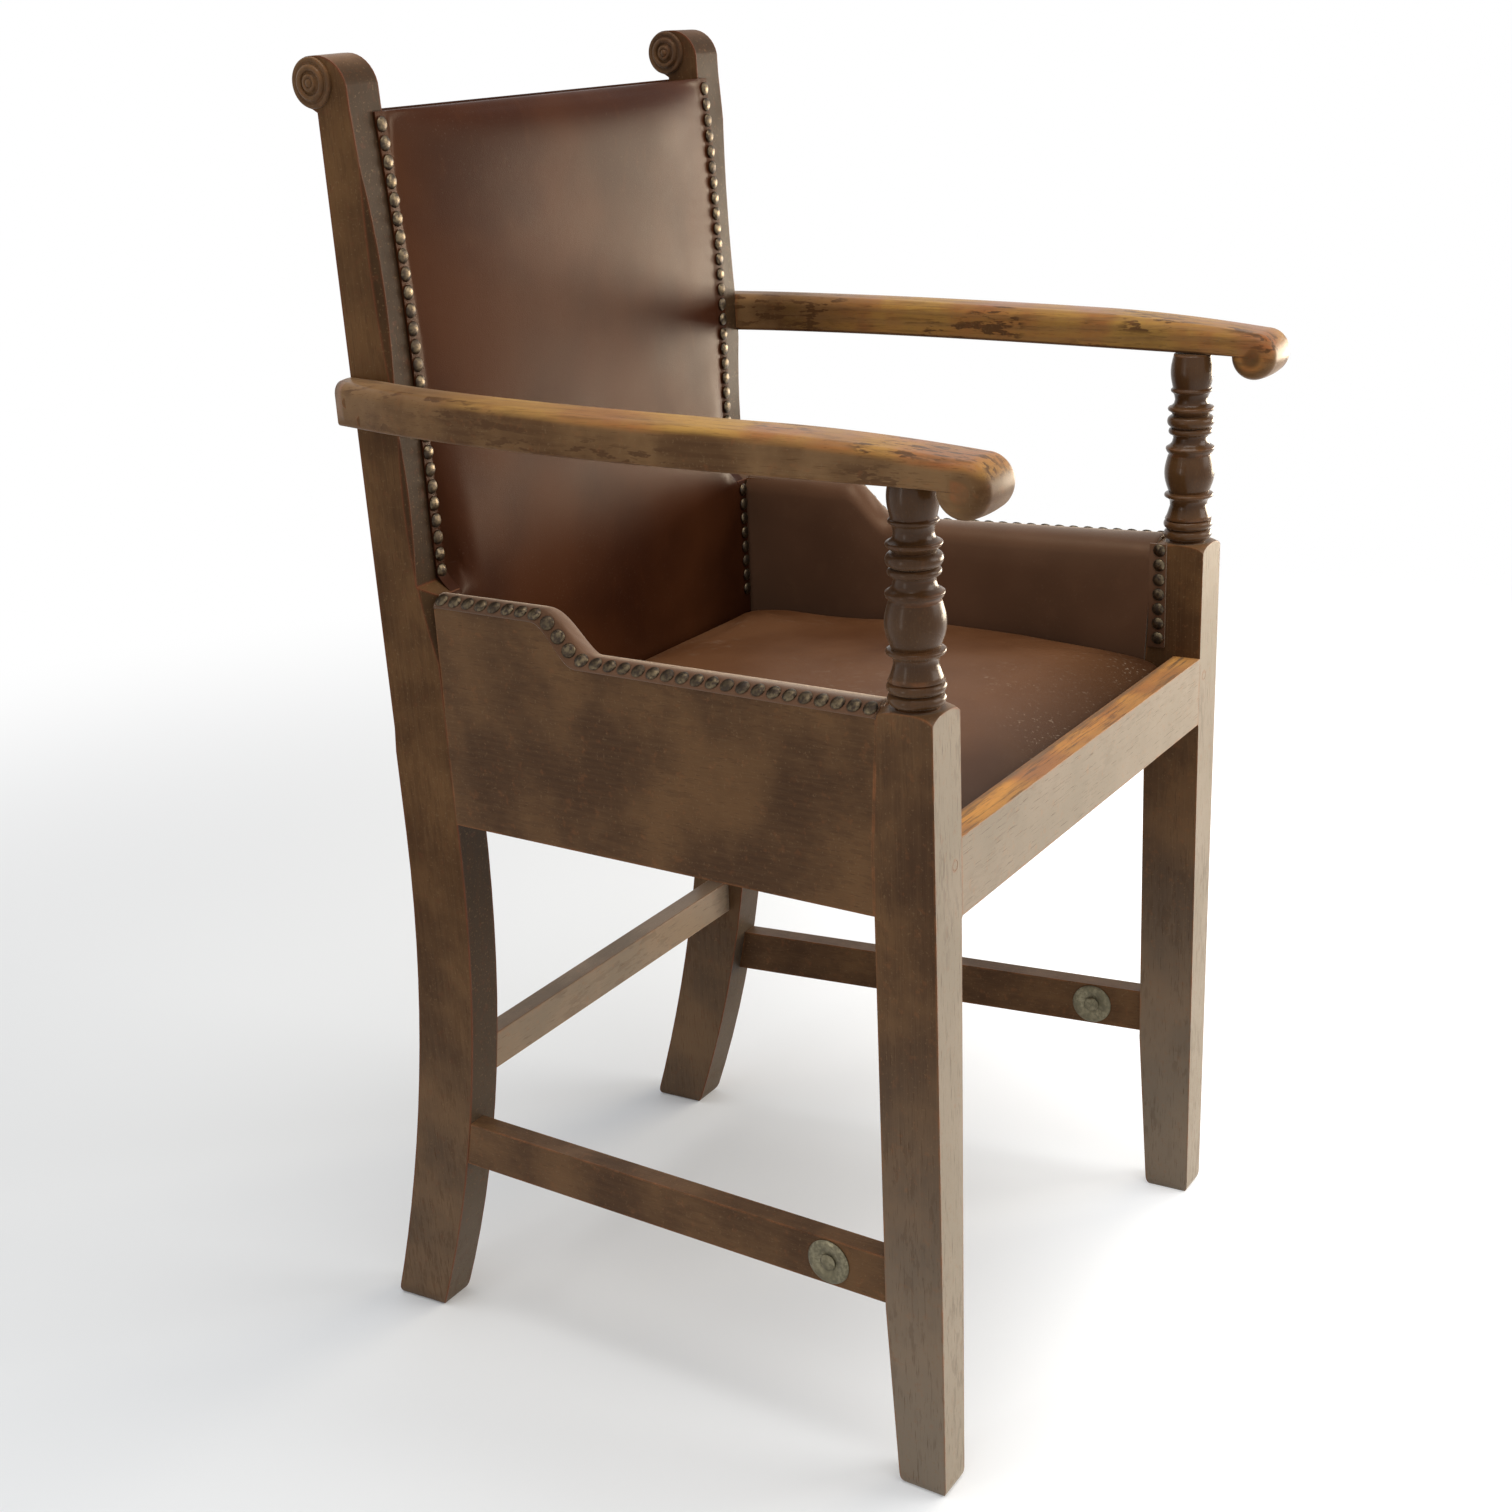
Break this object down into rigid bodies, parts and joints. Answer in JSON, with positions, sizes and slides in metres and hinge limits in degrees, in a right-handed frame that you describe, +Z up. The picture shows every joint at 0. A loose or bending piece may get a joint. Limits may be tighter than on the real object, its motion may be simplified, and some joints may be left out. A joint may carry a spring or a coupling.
{
  "type": "open armchair",
  "caption": "Open-arm chair with turned arm supports, nailed leather back and side panels, scroll-topped posts and a lift-out leather seat",
  "frame": {"origin": "on the floor under the centre of the chair's outline", "axes": "+X to the sitter's left, -Y to the front, +Z up"},
  "size_m": [0.5524, 0.5682, 0.9584],
  "materials": {
    "dark_oak": "worn waxed dark stain, open grain",
    "inner_wood": "bare sawn hardwood",
    "brown_leather": "smooth hide, soft sheen, light scuffs",
    "aged_brass": "dull antique patina",
    "webbing": "plain jute weave"
  },
  "bodies": {
    "root": {"rear_post_right": "dark_oak", "rear_post_left": "dark_oak", "front_leg_right": "dark_oak", "front_leg_left": "dark_oak", "arm_right": "dark_oak", "arm_left": "dark_oak", "side_panel_right": "dark_oak", "side_panel_left": "dark_oak", "front_rail": "dark_oak", "rear_seat_rail": "dark_oak", "back_top_rail": "dark_oak", "back_lower_rail": "dark_oak", "side_stretcher_right": "dark_oak", "side_stretcher_left": "dark_oak", "rear_stretcher": "dark_oak", "roundel_right_outer": "dark_oak", "roundel_right_inner": "dark_oak", "roundel_left_outer": "dark_oak", "roundel_left_inner": "dark_oak", "washer_right_outer": "aged_brass", "washer_right_inner": "aged_brass", "washer_left_outer": "aged_brass", "washer_left_inner": "aged_brass", "bolt_right": "aged_brass", "bolt_left": "aged_brass", "nut_right": "aged_brass", "nut_left": "aged_brass", "peg_right": "dark_oak", "peg_left": "dark_oak", "arm_screws_right": "dark_oak", "arm_screws_left": "dark_oak", "bearer_front": "inner_wood", "bearer_rear": "inner_wood", "bearer_right": "inner_wood", "bearer_left": "inner_wood", "side_pad_right": "brown_leather", "side_pad_left": "brown_leather", "back_pad": "brown_leather", "back_outer_cover": "brown_leather", "back_nails_right": "aged_brass", "back_nails_left": "aged_brass", "side_nails_right": "aged_brass", "side_nails_left": "aged_brass", "leg_nails_right": "aged_brass", "leg_nails_left": "aged_brass", "cover_nails_right": "aged_brass", "cover_nails_left": "aged_brass"},
    "seat": {"seat_frame_front": "inner_wood", "seat_frame_rear": "inner_wood", "seat_frame_right": "inner_wood", "seat_frame_left": "inner_wood", "seat_webbing": "webbing", "seat_cushion": "brown_leather"}
  },
  "joints": [
    {"name": "seat_lift", "type": "slide", "parent": "root", "child": "seat", "axis": [0, 0, 1], "range_m": [0, 0.12]}
  ]
}
